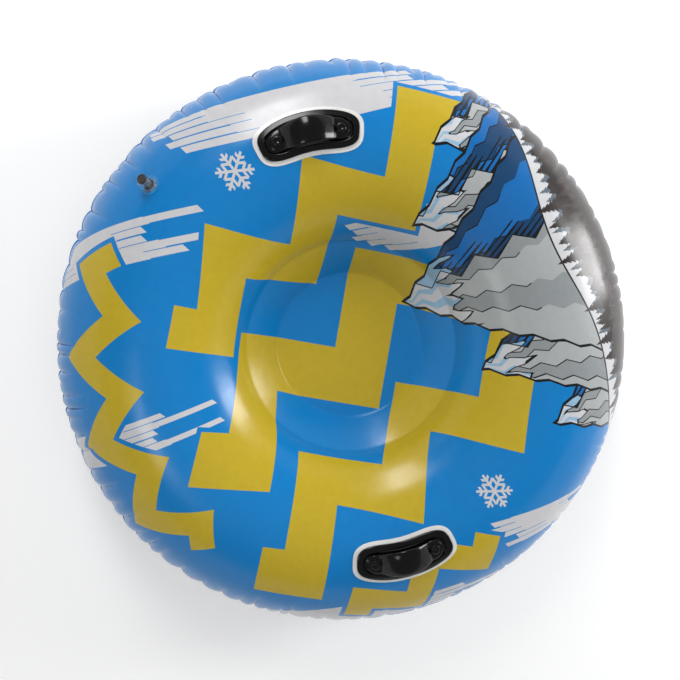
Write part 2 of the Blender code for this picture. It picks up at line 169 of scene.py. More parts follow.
def linear(code):
    """A colour written as sRGB hex, turned to the linear values that shaders take."""
    shares = (int(code[i : i + 2], 16) / 255 for i in (1, 3, 5))
    return (*((c / 12.92 if c <= 0.04045 else ((c + 0.055) / 1.055) ** 2.4) for c in shares), 1.0)


# Studio: azimuths and heights are degrees in the picture
ceiling_light, floor_glow = 0.26, 0.28
lamps = (  # name, azimuth, height, distance, width, length, power in watts, whether it shows in reflections
    ("window", 15, 20, 3.0, 0.80, 1.60, 54.0, True),
    ("lamp", 104, 40, 3.0, 0.65, 1.50, 34.0, True),
    ("overhead", -146, 62, 3.0, 0.60, 0.60, 4.5, True),
    ("fill", 0, 88, 3.2, 3.00, 3.00, 20.0, False),
)
ground = -0.0003
floor_flat, bend_start, bend_radius, wall_top = 1.5, 2.8, 1.4, 2.6
studio_points = 96

# Inks, as they show on the film
blue_ink = linear("#007CC4")
yellow_ink = linear("#C2A826")
white_ink = linear("#CBCBCE")
black_ink = linear("#121417")
grey_lit = linear("#A9ADAD")
grey_middle = linear("#8F9496")
snow_shade = linear("#93B8D2")
ice_blue = linear("#1268AF")
ice_dark = linear("#123F68")
ink_edge = 0.0005

# Shapes of the print, in metres on the flat sheet, with turns in degrees
streaks = (  # x, y, turn, length, width, seed
    (-0.045, 0.452, 14, 0.58, 0.080, 1),
    (-0.43, 0.185, 16, 0.36, 0.072, 2),
    (-0.44, -0.17, 20, 0.38, 0.062, 3),
    (0.055, -0.507, 12, 0.50, 0.070, 4),
    (0.430, -0.315, 14, 0.27, 0.062, 5),
    (0.165, 0.245, 14, 0.26, 0.082, 6),
)
streak_lanes, streak_slant = 5, 0.6  # lanes across a streak, and how far its ends slant
streak_slide, streak_loss = 0.09, 0.05  # most that a lane is moved along, and shortened at each end
streak_line, streak_solid = 0.0013, 0.24  # half width of the lines, and share of the length without them
snowflakes = (  # x, y, turn, reach
    (-0.220, 0.322, 10, 0.034),
    (0.262, -0.270, 5, 0.033),
)
snowflake_line = 0.13  # width of an arm, as a share of its reach
snowflake_twigs = ((0.40, 0.34), (0.68, 0.24))  # start and length on the arm, as shares of its reach
zigzags = (  # x, y, turn, strokes there and back, width, swing, period
    (0.030, 0.035, 35, 3, 0.096, 0.068, 0.270),
    (0.105, -0.200, 35, 3, 0.086, 0.060, 0.235),
    (-0.080, 0.232, 35, 3, 0.080, 0.056, 0.215),
    (0.125, -0.435, 35, 2, 0.050, 0.036, 0.150),
)
ribbon_turn = radians(195)  # azimuth of the middle of the zigzag that follows the rim
ribbon_reach = 0.458
ribbon = (4, 0.044, 0.036, 0.148)  # strokes, width, swing, period
zigzag_margin = 0.0085  # of plain blue round each
range_turn = radians(113)  # the mountains and the hills stand across this line
peaks = (  # place along the range, height of the top, slopes of the two sides, depth of the snow, seed
    (0.300, -0.270, 1.35, 1.75, 0.065, 0.11),
    (-0.270, -0.285, 1.75, 1.40, 0.060, 0.37),
    (0.185, -0.195, 1.45, 1.55, 0.085, 0.23),
    (-0.135, -0.215, 1.55, 1.45, 0.075, 0.52),
    (0.035, -0.115, 1.45, 1.40, 0.115, 0.00),
)
# Of a mountain: pitches and line widths in metres, the rest slopes and shares
crag_pitch, crag_reach = 0.021, 0.55  # jags of a mountain's sides
ridge_pitch, ridge_reach, ridge_lean = 0.034, 0.8, 0.10
facet_turn, facet_shade = 0.22, 0.42  # turn of a facet in radians, and the share of it that is darker
crack_line, crack_end = 0.0010, 0.24  # half width, and how far down they run
snow_pitch, snow_drop, snow_fold, snow_slope = 0.015, 2.6, 0.10, 0.4
hatch_pitch, hatch_slant, hatch_growth, hatch_start, hatch_reach = 0.0060, 0.65, 0.085, 0.0036, 0.030
snow_line, ridge_line, mountain_line = 0.0032, 0.0014, 0.0045
hill_rate, hill_phase, snow_swing, fir_swing = 15, 0.6, 0.010, 0.006
snowfield, snowfield_line = -0.422, 0.0030  # height of its edge, and its outline
firs = (  # height of the ground, spacing, least height, spread of the heights, ink
    (-0.450, 0.019, 0.008, 0.024, "#5A6670"),
    (-0.459, 0.034, 0.014, 0.040, "#2B2322"),
    (-0.462, 0.021, 0.004, 0.030, "#2B2322"),
    (-0.488, 0.023, 0.012, 0.024, "#3D3331"),
    (-0.505, 0.019, 0.010, 0.026, "#2B2322"),
    (-0.535, 0.027, 0.014, 0.028, "#382F2D"),
    (-0.556, 0.021, 0.010, 0.026, "#231D1C"),
)
fir_tier, fir_notch, fir_width = 0.0085, 0.45, 0.52  # height of a tier, its notch, half width per spacing
blue_margin = 0.045

# Finish of the film and the mouldings: sizes across and heights of the relief, in metres
grain_size, grain_height = 0.0009, 0.000003  # really a tenth as wide, drawn as coarse as it needs to show
slack_size, slack_height = 0.024, 0.00010
mottle_size = 0.011
groove_pitch, groove_depth = 0.0016, 0.16  # ribs of the welding tool, as deep as a share of half their pitch
groove_edge = 0.0006
peel_size, peel_height = 0.0024, 0.000012
cloud_size = 0.016
printed_gloss = 0.38  # half would be bare film: the inks' binder takes some of the glint


def placed(name, data):
    """A new object in the scene."""
    made = bpy.data.objects.new(name, data)
    bpy.context.scene.collection.objects.link(made)
    return made


# Camera: nearly over the tube, where the photograph was taken from


def make_camera():
    """A camera that looks at the middle of the ring, at the height of its seam."""
    tilt, azimuth, distance = radians(7.1), radians(42.0), 1.30
    back = Vector((sin(tilt) * cos(azimuth), sin(tilt) * sin(azimuth), cos(tilt)))
    up = Vector((cos(picture_top), sin(picture_top), 0))
    right = up.cross(back).normalized()
    up = back.cross(right)
    data = bpy.data.cameras.new("camera")
    data.sensor_width = 36.0
    data.lens = 38.7
    data.shift_x, data.shift_y = -0.0138, 0.0074
    data.clip_start, data.clip_end = 0.01, 50.0
    camera = placed("camera", data)
    camera.matrix_world = Matrix((right, up, back)).transposed().to_4x4()
    camera.matrix_world.translation = Vector((0, 0, crown_height)) + back * distance
    bpy.context.scene.camera = camera


make_camera()


# Nodes


def add_node(tree, kind, *values, at={}, **settings):
    """Adds a node of a kind, or the Math node of an operation in capitals. Values go to the first sockets in
    order, with None for one that stays, and at gives more by number. A capitalised setting is a socket."""
    made = tree.nodes.new("ShaderNode" + ("Math" if kind.isupper() else kind))
    if kind.isupper():
        made.operation = kind
    sockets = {i: value for i, value in enumerate(values) if value is not None}
    sockets.update(at)
    for key, value in settings.items():
        if key[0].isupper():
            sockets[key.replace("_", " ")] = value
        else:
            setattr(made, key, value)
    for key, value in sockets.items():
        if isinstance(value, bpy.types.Node):
            value = value.outputs[0]
        if isinstance(value, bpy.types.NodeSocket):
            tree.links.new(value, made.inputs[key])
        else:
            made.inputs[key].default_value = value
    return made


def surface(name, **sockets):
    """A material with one Principled shader. Returns it with what adds nodes to it, and its shader."""
    material = bpy.data.materials.new(name)
    material.use_nodes = True
    material.node_tree.nodes.clear()
    add = partial(add_node, material.node_tree)
    shader = add("BsdfPrincipled", **sockets)
    add("OutputMaterial", shader)
    return material, add, shader


def local(add, place, x, y, turn):
    """The two coordinates of a frame that stands at x, y on the print and is turned."""
    moved = add("Mapping", place, (x, y, 0), (0, 0, turn), vector_type="TEXTURE")
    parts = add("SeparateXYZ", moved)
    return parts.outputs[0], parts.outputs[1]


def laid(add, under, distance, colour):
    """A colour over another where a distance in metres is below zero, with a soft ink edge. Each colour is
    linear values or the socket of a node."""
    share = add("MULTIPLY_ADD", distance, -1 / ink_edge, 0.5, use_clamp=True)
    return add("Mix", share, data_type="RGBA", at={6: under, 7: colour}).outputs[2]


def cut(add, *distances):
    """The distance to what all the shapes share."""
    found = distances[0]
    for distance in distances[1:]:
        found = add("MAXIMUM", found, distance)
    return found


# The print: generic winter shapes


def streak(add, place, x, y, turn, length, width, seed):
    """A broad stroke that ends in lines of unequal length."""
    along, across = local(add, place, x, y, radians(turn))
    lane = width / streak_lanes
    index = add("FLOOR", add("MULTIPLY_ADD", across, 1 / lane, seed + 0.5))
    jitter = add("TexWhiteNoise", at={1: index}, noise_dimensions="1D").outputs[0]
    slid = add("MULTIPLY_ADD", across, streak_slant, along)
    far = add("ABSOLUTE", add("MULTIPLY_ADD", jitter, streak_slide, slid))
    end = add("MULTIPLY_ADD", jitter, streak_loss, add("SUBTRACT", far, length / 2))
    side = add("SUBTRACT", add("ABSOLUTE", across), width / 2)
    line = add("PINGPONG", add("ADD", across, lane / 2), lane / 2)
    line = add("SUBTRACT", streak_line, line)
    line = add("MINIMUM", line, add("SUBTRACT", far, streak_solid * length))
    return cut(add, side, end, line)


def zigzag(add, along, across, strokes, width, swing, period):
    """A broad zigzag stroke that swings to both sides of a line, cut square at both ends."""
    slope = 4 * swing / period
    lean = cos(atan(slope))
    wave = add("PINGPONG", add("ADD", along, period / 4), period / 2)
    middle = add("MULTIPLY_ADD", wave, slope, -swing)
    off = add("ABSOLUTE", add("SUBTRACT", across, middle))
    side = add("MULTIPLY_ADD", off, lean, -width / 2)
    slid = add("MULTIPLY_ADD", across, slope if strokes % 2 == 0 else -slope, along)
    far = add("SUBTRACT", add("ABSOLUTE", slid), strokes * period / 2)
    return cut(add, side, add("MULTIPLY", far, lean))


def snowflake(add, place, x, y, turn, reach):
    """A six-armed snowflake with two pairs of twigs on each arm."""
    along, across = local(add, place, x, y, radians(turn))
    half_line = reach * snowflake_line / 2
    fold = add("PINGPONG", add("ARCTAN2", across, along), pi / 6)
    squares = add("MULTIPLY", along, along)
    squares = add("MULTIPLY_ADD", across, across, squares)
    radius = add("SQRT", squares)
    u = add("MULTIPLY", radius, add("COSINE", fold))
    v = add("MULTIPLY", radius, add("SINE", fold))
    flake = cut(add, add("SUBTRACT", v, half_line), add("SUBTRACT", u, reach))
    for start, twig in snowflake_twigs:
        off = add("SUBTRACT", u, start * reach)
        off = add("MULTIPLY", off, sin(pi / 3))
        off = add("MULTIPLY_ADD", v, -cos(pi / 3), off)
        off = add("SUBTRACT", add("ABSOLUTE", off), half_line)
        out = add("SUBTRACT", v, twig * reach)
        flake = add("MINIMUM", flake, cut(add, off, out))
    return flake


def peak(add, under, place, side, top, left, right, cap, seed):
    """A mountain in the range: facets that run down from the top, lit on one side of the ridge and shaded on
    the other, a jagged snow cap, hatching and black outlines. left and right are the slopes of the sides."""
    x, y, _ = Matrix.Rotation(range_turn, 3, "Z") @ Vector((side, top, 0))
    across, up = local(add, place, x, y, range_turn)
    crag = add("PINGPONG", add("ADD", up, seed), crag_pitch)
    sides = []
    for slope, sign in ((left, -1), (right, 1)):
        edge = add("MULTIPLY_ADD", across, sign * slope, up)
        edge = add("MULTIPLY_ADD", crag, crag_reach * sign, edge)
        sides.append(add("MULTIPLY", edge, cos(atan(slope))))
    body = cut(add, *sides)
    line = add("MULTIPLY_ADD", up, ridge_lean, across)
    wander = add("PINGPONG", add("ADD", up, seed * 0.7), ridge_pitch)
    ridge = add("MULTIPLY_ADD", wander, -ridge_reach, line)
    shade = add("MULTIPLY", ridge, -1)

    down = add("MULTIPLY", up, -1)
    angle = add("ARCTAN2", add("MULTIPLY_ADD", crag, 0.5, line), down)
    fold = add("PINGPONG", add("ADD", angle, 3 + seed), facet_turn)
    facet = add("MULTIPLY", add("SUBTRACT", fold, facet_shade * facet_turn), down)
    crack = add("SUBTRACT", add("ABSOLUTE", facet), crack_line)
    crack = cut(add, crack, add("SUBTRACT", down, crack_end))

    jag = add("PINGPONG", add("ADD", across, 3 + seed), snow_pitch)
    snow = add("MULTIPLY_ADD", jag, -snow_drop, up)
    snow = add("MULTIPLY_ADD", fold, snow_fold, snow)
    snow = add("MULTIPLY_ADD", snow, -snow_slope, -snow_slope * cap)

    hatch = add("PINGPONG", add("MULTIPLY_ADD", up, hatch_slant, across), hatch_pitch)
    hatch = add("ADD", hatch, add("MULTIPLY_ADD", ridge, hatch_growth, -hatch_start))
    hatch = cut(add, hatch, shade, add("SUBTRACT", ridge, hatch_reach))

    rock = laid(add, laid(add, grey_lit, facet, grey_middle), shade, laid(add, ice_blue, facet, ice_dark))
    rock = laid(add, laid(add, rock, crack, black_ink), hatch, black_ink)
    white = laid(add, laid(add, white_ink, facet, snow_shade), shade, snow_shade)
    colour = laid(add, rock, add("SUBTRACT", snow, snow_line), black_ink)
    colour = laid(add, colour, snow, white)
    crest = add("SUBTRACT", add("ABSOLUTE", ridge), ridge_line)
    colour = laid(add, colour, crest, black_ink)
    colour = laid(add, colour, add("MULTIPLY_ADD", body, -1, -mountain_line), black_ink)
    return laid(add, under, body, colour)


def foothills(add, under, place):
    """A snowfield under the mountains, and rows of firs in front of it, each nearer and in its own ink."""
    across, up = local(add, place, 0, 0, range_turn)
    wave = add("SINE", add("MULTIPLY_ADD", across, hill_rate, hill_phase))
    below = add("SUBTRACT", up, add("MULTIPLY_ADD", wave, snow_swing, snowfield))
    colour = laid(add, under, add("SUBTRACT", below, snowfield_line), black_ink)
    colour = laid(add, colour, below, white_ink)
    for foot, spacing, least, spread, ink in firs:
        below = add("SUBTRACT", up, add("MULTIPLY_ADD", wave, fir_swing, foot))
        # The row's own place goes into the index, so that each row draws other heights
        index = add("ADD", add("ROUND", add("DIVIDE", across, spacing)), foot)
        tall = add("TexWhiteNoise", at={1: index}, noise_dimensions="1D").outputs[0]
        tall = add("MULTIPLY_ADD", tall, spread, least)
        off = add("PINGPONG", across, spacing / 2)
        tier = add("FRACT", add("DIVIDE", below, fir_tier))
        width = add("SUBTRACT", 1.0, add("DIVIDE", below, tall))
        width = add("MULTIPLY", width, add("MULTIPLY_ADD", tier, -fir_notch, 1.0))
        fir = add("MULTIPLY_ADD", width, -fir_width * spacing, off)
        colour = laid(add, colour, add("MINIMUM", fir, below), linear(ink))
    return colour


def printed_colour(add, place):
    """The colours of the print at a point of the flat sheet."""
    from_middle = add("SeparateXYZ", place).outputs[2]
    colour = blue_ink
    for settings in streaks:
        colour = laid(add, colour, streak(add, place, *settings), white_ink)
    for settings in snowflakes:
        colour = laid(add, colour, snowflake(add, place, *settings), white_ink)
    ring_x, ring_y = local(add, place, 0, 0, ribbon_turn)
    around = add("MULTIPLY", add("ARCTAN2", ring_y, ring_x), ribbon_reach)
    beyond = add("SUBTRACT", from_middle, ribbon_reach)
    bands = [zigzag(add, around, beyond, *ribbon)]
    for x, y, turn, *settings in zigzags:
        bands.append(zigzag(add, *local(add, place, x, y, radians(turn)), *settings))
    for shape in bands:
        colour = laid(add, colour, add("SUBTRACT", shape, zigzag_margin), blue_ink)
        colour = laid(add, colour, shape, yellow_ink)
    for settings in peaks:
        colour = peak(add, colour, place, *settings)
    colour = foothills(add, colour, place)
    from_seam = add("SUBTRACT", seam_along - blue_margin, from_middle)
    return laid(add, colour, from_seam, blue_ink)


# Materials


def film_relief(add):
    """Calendered film: a fine grain, and long shallow waves of slack that bend the reflections."""
    place = add("TexCoord").outputs["Object"]
    grain = add("TexNoise", place, Scale=1 / grain_size, Detail=2.0)
    slack = add("TexNoise", place, Scale=1 / slack_size, Detail=1.5)
    height = add("MULTIPLY", grain, grain_height)
    height = add("MULTIPLY_ADD", slack, slack_height, height)
    return place, slack, height


def weld_relief(add, along, height):
    """Concentric grooves that the welding tool leaves along the three welds."""
    groove = add("PINGPONG", along, groove_pitch / 2)
    for middle, reach in ((floor_radius, 0.0030), (crease_along, 0.0022), (seam_along + 0.004, 0.006)):
        off = add("ABSOLUTE", add("SUBTRACT", along, middle))
        share = add("MapRange", off, reach, reach - groove_edge, 0.0, 1.0)
        height = add("MULTIPLY_ADD", share, add("MULTIPLY", groove, groove_depth), height)
    return height


def give_finish(add, shader, colour, tone, dull, height):
    """Links a colour times a tone, the roughness, and the bump of a height in metres to a shader."""
    colour = add("Mix", 1.0, data_type="RGBA", blend_type="MULTIPLY", at={6: colour, 7: tone})
    bump = add("Bump", Strength=1.0, Distance=1.0, Height=height)
    sockets = {"Base Color": colour.outputs[2], "Roughness": dull.outputs[0], "Normal": bump.outputs[0]}
    for name, value in sockets.items():
        shader.id_data.links.new(value, shader.inputs[name])


def make_printed_film():
    """PVC film, calendered, screen printed and glossy: to the eye, flat even inks with crisp edges, under
    soft bright glints that the puckers break up."""
    material, add, shader = surface("printed_pvc_film", IOR=1.54, Specular_IOR_Level=printed_gloss)
    print_place = add("Attribute", attribute_name="print_place").outputs["Vector"]
    place, slack, height = film_relief(add)
    height = weld_relief(add, add("SeparateXYZ", print_place).outputs[2], height)
    mottle = add("TexNoise", place, Scale=1 / mottle_size, Detail=3.0)
    tone = add("MapRange", mottle, 0.3, 0.7, 0.965, 1.02)
    dull = add("MapRange", slack, 0.35, 0.65, 0.20, 0.26)
    give_finish(add, shader, printed_colour(add, print_place), tone, dull, height)
    return material


def make_plain_film(name, code, roughness):
    """PVC film, calendered, coloured through: to the eye, an even colour under long wavering reflections."""
    material, add, shader = surface(name, IOR=1.54)
    _, slack, height = film_relief(add)
    tone = add("MapRange", slack, 0.3, 0.7, 0.95, 1.03)
    dull = add("MapRange", slack, 0.35, 0.65, roughness - 0.03, roughness + 0.03)
    give_finish(add, shader, linear(code), tone, dull, height)
    return material


def make_vinyl(name, code, roughness, transmission=0.0, gloss=0.5):
    """Soft PVC, injection moulded in a polished mould: to the eye, deep gloss with a faint orange peel."""
    sockets = {"IOR": 1.53, "Transmission_Weight": transmission, "Specular_IOR_Level": gloss}
    material, add, shader = surface(name, **sockets)
    place = add("TexCoord").outputs["Object"]
    peel = add("TexNoise", place, Scale=1 / peel_size, Detail=1.0)
    cloud = add("TexNoise", place, Scale=1 / cloud_size, Detail=2.0)
    tone = add("MapRange", cloud, 0.3, 0.7, 0.85, 1.15)
    dull = add("MapRange", cloud, 0.3, 0.7, roughness - 0.04, roughness + 0.05)
    give_finish(add, shader, linear(code), tone, dull, add("MULTIPLY", peel, peel_height))
    return material


# Film


def wall_point(turn):
    """Radius and height of the round film, a quarter turn being the crown."""
    reach = outer_wall_width if turn <= quarter else inner_reach
    swell = seam_root_radius - crown_radius - outer_wall_width
    swell *= max(0.0, cos(turn)) ** swell_power
    return crown_radius + reach * cos(turn) + swell, crown_height * sin(turn)


def lengths_along(line):
    """How far along a line each of its points lies."""
    return np.concatenate([[0], np.cumsum(np.linalg.norm(np.diff(line, axis=0), axis=1))])


def section(top):
    """Radii and heights of one sheet's section, in close even steps, with its weld lines rounded."""
    start, end = np.array([floor_radius, floor_face]), np.array([crease_radius, crease_height])
    chord = end - start
    bulge = np.array([-chord[1], chord[0]]) / np.linalg.norm(chord) * band_puff
    share = np.linspace(0, 1, band_points)[:, None]
    band = start + chord * share + bulge * 4 * share * (1 - share)
    turns = np.linspace(pi - crease_angle, 0, wall_points)
    wall = np.array([wall_point(turn) for turn in turns])
    if not top:
        wall[:, 1] = np.minimum(wall[:, 1] * ground_rise, crown_height)
    wall = wall[wall[:, 1] > floor_face]
    floor = np.arange(0, floor_radius, floor_step)
    flange = np.arange(seam_root_radius + flange_step, seam_edge_radius, flange_step)
    floor, flange = (np.array([(radius, floor_face) for radius in radii]) for radii in (floor, flange))
    line = np.concatenate([floor, band, wall[1:], flange])

    even = lengths_along(line)
    places = np.arange(0, even[-1], drawn_step)
    line = np.stack([np.interp(places, even, line[:, i]) for i in (0, 1)], axis=1)
    offsets = np.arange(-rounding_points, rounding_points + 1)
    weights = np.exp(-0.5 * (offsets * drawn_step / ring_rounding) ** 2)
    weights /= weights.sum()
    inner = slice(rounding_points, len(line) - rounding_points)
    line[inner] = np.stack([np.convolve(line[:, i], weights, "valid") for i in (0, 1)], axis=1)
    return line


def sampled(line):
    """Rows of a section: radius, height, distance along the film, and the outward normal; and where the seam
    begins. The rows lie close together at the weld lines and near the seam."""
    along = lengths_along(line)
    tangent = np.gradient(line, along, axis=0)
    tangent /= np.linalg.norm(tangent, axis=1)[:, None]
    seam = np.interp(seam_root_radius - seam_inset, line[:, 0], along)
    welds = [np.interp(r, line[:, 0], along) for r in (floor_radius, crease_radius)]
    places = [first_row]
    while places[-1] < along[-1] - shortest_row:
        here = places[-1]
        near = min(abs(here - weld) for weld in welds)
        step = min(weld_step + weld_growth * near, widest_step)
        if here > seam - pucker_zone:
            step = min(step, pucker_step + pucker_growth * max(0.0, seam - fold_zone - here))
        if here > seam - seam_zone:
            step = seam_step
        places.append(here + step)
    places[-1] = along[-1]
    columns = (*line.T, along, -tangent[:, 1], tangent[:, 0])
    return np.array([np.interp(places, along, column) for column in columns]), seam


def make_puckers():
    """Creases round the seam: their azimuths, and each one's depth, length and lean."""
    rng = random.Random(11)
    widths = [rng.uniform(*pucker_widths) for _ in range(pucker_count)]
    edges = np.concatenate([[0], np.cumsum(widths)]) / sum(widths) * tau
    smooth_side = picture_right - pi / 4
    depths, lengths = [], []
    for edge in edges[:-1]:
        calm = 1 - pucker_calm * max(0.0, cos(edge - smooth_side)) ** 2
        depths.append(pucker_depth * calm * rng.uniform(*pucker_depths))
        lengths.append(rng.uniform(*pucker_lengths))
    return edges, np.array(depths), np.array(lengths), [rng.uniform(-1, 1) for _ in range(pucker_count)]


def ripple(x, y):
    """Shallow long waves of the film, in metres, that leave the valve's place flat."""
    total = 0
    for rate, heading, phase in ripples:
        total = total + np.sin(rate * (x * cos(heading) + y * sin(heading)) + phase)
    away = np.hypot(x - valve_foot[0], y - valve_foot[1])
    return ripple_height * total / len(ripples) * np.clip((away - valve_calm) / valve_calm_edge, 0, 1)


def film_column(rows, seam, side, crease, share):
    """Azimuth, radii and heights of a sheet's column, at a share of the way from one crease to the next."""
    radius, height, along, out_r, out_h = rows
    edges, depths, lengths, leans = puckers
    after = (crease + 1) % pucker_count
    nearest = crease if share < 0.5 else after
    azimuth = edges[crease] + (edges[crease + 1] - edges[crease]) * share
    from_seam = np.maximum(seam - along, 0)
    # The bottom reads the lengths from the list's other end, so that its creases differ from the top's
    reach = np.clip(1 - from_seam / lengths[nearest * side], 0, 1)
    valley = 1 - np.sin(pi * max(share, 1e-4)) ** (pucker_power + pucker_power_gain * reach)
    rise = pucker_root + (1 - pucker_root) * np.clip(from_seam / pucker_rise, 0, 1)
    sunk = depths[nearest] * valley * reach**pucker_fade * rise

    lean = leans[crease] * (1 - share) + leans[after] * share
    wave = seam_wave * lean * sin(pi * share) * np.clip(1 - from_seam / wave_reach, 0, 1) ** 2
    wave += seam_wander * lean * np.clip(1 - from_seam / wander_reach, 0, 1) ** 2
    edge = np.clip((along - seam) / flange_width, 0, 1)
    lift = ripple(radius * cos(azimuth), radius * sin(azimuth))
    lift = np.where(radius - floor_radius < flat_margin, 0, lift) * (1 - edge)
    toward = np.where(along > seam - flat_margin, 1, out_r)
    outer = np.clip((radius - crown_radius) / outer_wall_width, 0, 1)
    oval = oval_reach * cos(2 * (azimuth - picture_right)) * outer**2
    away = radius + lift * out_r - sunk * toward + oval
    up = height + (lift - sunk * (from_seam > 0)) * out_h
    level = crown_height + side * up + wave * (1 + flange_wave * edge)
    return azimuth, away, np.maximum(level, 0)


def film_object(name, side, material):
    """One fine sheet of film, side 1 for the top and -1 for the bottom."""
    section_rows, seam = sampled(section(side > 0))
    along = section_rows[2]
    coarse = np.maximum(seam - along, 0) > max(pucker_lengths)
    mesh = bmesh.new()
    print_layer = mesh.verts.layers.float_vector.new("print_place")
    rows = [[] for _ in along]
    for crease in range(pucker_count):
        for k in range(columns_per_pucker):
            share = 0.5 - 0.5 * cos(pi * k / columns_per_pucker)
            share = 0.5 * (share + k / columns_per_pucker)  # closer columns near a crease
            azimuth, away, level = film_column(section_rows, seam, side, crease, share)
            cosine, sine = cos(azimuth), sin(azimuth)
            across, top = cos(azimuth - picture_right), sin(azimuth - picture_right)
            for row, r, z, s, few in zip(rows, away, level, along, coarse):
                if few and k % coarse_step:
                    continue
                vertex = mesh.verts.new((r * cosine, r * sine, z))
                vertex[print_layer] = (s * across, s * top, s)
                row.append(vertex)
    for inner, outside in zip(rows, rows[1:]):
        count, ratio = len(inner), len(outside) // len(inner)
        for k in range(count):
            after = (k + 1) % count
            far = [outside[(k * ratio + j) % len(outside)] for j in range(ratio + 1)]
            if ratio == 1:
                patches = [(inner[k], *far, inner[after])]
            else:
                patches = [(inner[k], *far[:2]), (inner[after], *far[-2:])]
                patches.append((inner[k], *far[1:ratio], inner[after]))
            for corners in patches:
                mesh.faces.new(corners if side > 0 else corners[::-1])
    mesh.faces.new(rows[0] if side > 0 else rows[0][::-1])
    return finished(name, mesh, material, film_thickness)


def finished(name, mesh, material, thickness=None):
    """An object from a bmesh, shaded smooth, and thickened inwards where it is a sheet."""
    data = bpy.data.meshes.new(name)
    mesh.to_mesh(data)
    mesh.free()
    data.materials.append(material)
    data.shade_smooth()
    data.set_sharp_from_angle(angle=radians(smooth_angle))
    piece = placed(name, data)
    if thickness:
        skin = piece.modifiers.new("film", "SOLIDIFY")
        skin.thickness = thickness
        skin.offset = -1
        skin.use_even_offset = True
    return piece


def dress(piece, body, slot, *nodes):
    """Puts a piece on its body, in place of the CAD nodes it stands for."""
    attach(piece, body)
    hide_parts(*nodes)
    return piece


def round_ring(mesh, radius, height, points):
    """A ring of vertices about Z."""
    angles = (tau * k / points for k in range(points))
    return [mesh.verts.new((radius * cos(a), radius * sin(a), height)) for a in angles]


def joined(mesh, rings, close=False, ends=False):
    """Quads between rings of vertices that all have one count, with the last ring joined to the first, or
    with a face over each end."""
    pairs = list(zip(rings, rings[1:])) + ([(rings[-1], rings[0])] if close else [])
    for lower, upper in pairs:
        for k in range(len(lower)):
            after = (k + 1) % len(lower)
            mesh.faces.new((lower[k], lower[after], upper[after], upper[k]))
    if ends:
        mesh.faces.new(rings[0])
        mesh.faces.new(rings[-1])


def capped(mesh, ring):
    """Fills a long closed ring with strips across it, from the points that face each other."""
    count = len(ring)
    for k in range(count // 2):
        corners = [ring[k], ring[k + 1], ring[(count - k - 1) % count], ring[(count - k) % count]]
        mesh.faces.new(list(dict.fromkeys(corners)))


def outward(mesh):
    """Turns all the faces of a closed mesh outwards."""
    bmesh.ops.recalc_face_normals(mesh, faces=mesh.faces)
    return mesh


def squarish(value, power):
    """A sine or cosine, for an outline that is squarer than an ellipse where the power is below 1."""
    return copysign(abs(value) ** power, value)


def turned(mesh, profile, points, hollow=False):
    """A solid turned about Z from (radius, height) pairs; a hollow one's profile is a closed loop."""
    rings = [round_ring(mesh, radius, height, points) for radius, height in profile]
    joined(mesh, rings, close=hollow, ends=not hollow)
    return mesh


def softened(profile, radius, closed=False):
    """The same outline with each inner corner rounded."""
    points = [Vector(p) for p in profile]
    made = []
    for i, here in enumerate(points):
        if not closed and i in (0, len(points) - 1):
            made.append(tuple(here))
            continue
        before, after = points[i - 1], points[(i + 1) % len(points)]
        cut_back = min(radius, (before - here).length * 0.45, (after - here).length * 0.45)
        a = here + (before - here).normalized() * cut_back
        b = here + (after - here).normalized() * cut_back
        for t in (0, 0.25, 0.5, 0.75, 1):
            made.append(tuple(a * (1 - t) ** 2 + here * 2 * t * (1 - t) + b * t * t))
    return made


def bore(piece, radius, low, high, place):
    """Cuts a round hole."""
    data = bpy.data.meshes.new(piece.name + "_bore")
    mesh = outward(turned(bmesh.new(), [(radius, low), (radius, high)], 40))
    mesh.to_mesh(data)
    mesh.free()
    tool = placed(data.name, data)
    tool.matrix_world = place
    tool.hide_render = tool.hide_viewport = True
    cutter = piece.modifiers.new("bore", "BOOLEAN")
    cutter.operation = "DIFFERENCE"
    cutter.object = tool
    cutter.solver = "EXACT"


# Handles


def film_normal(turn, reach):
    """The film's outward direction on its round: the shares along the radius and upwards."""
    radial, upward = cos(turn) / reach, sin(turn) / crown_height
    size = hypot(radial, upward)
    return radial / size, upward / size


def over_crown(side, along, across, height):
    """Point over the crown: along the ring, across it outwards, above the film. side 1 is the +X handle."""
    reach = outer_wall_width if across > 0 else inner_reach
    turn = quarter - across / reach
    radius = crown_radius + reach * cos(turn)
    radial, upward = film_normal(turn, reach)
    azimuth = along / (crown_radius + handle_offset)
    cosine, sine = side * cos(azimuth), side * sin(azimuth)
    height += float(ripple(radius * cosine, radius * sine))
    foot = Vector((radius * cosine, radius * sine, crown_height + crown_height * sin(turn)))
    return foot + Vector((cosine * radial, sine * radial, upward)) * height


def arch_at(along):
    """How far out the handle's middle line lies, which bends with the ring."""
    return handle_offset + base_arch / 2 * cos(tau * along / base_length)


def handle_frame(side, along):
    """Axes along, across and out of the film on the middle line of a handle."""
    across, nudge = arch_at(along), 0.005
    origin = over_crown(side, along, across, 0)
    out = (over_crown(side, along, across, nudge) - origin).normalized()
    tangent = (over_crown(side, along + nudge, across, 0) - origin).normalized()
    sideways = out.cross(tangent).normalized()
    place = Matrix((sideways.cross(out), sideways, out)).transposed().to_4x4()
    place.translation = origin
    return place


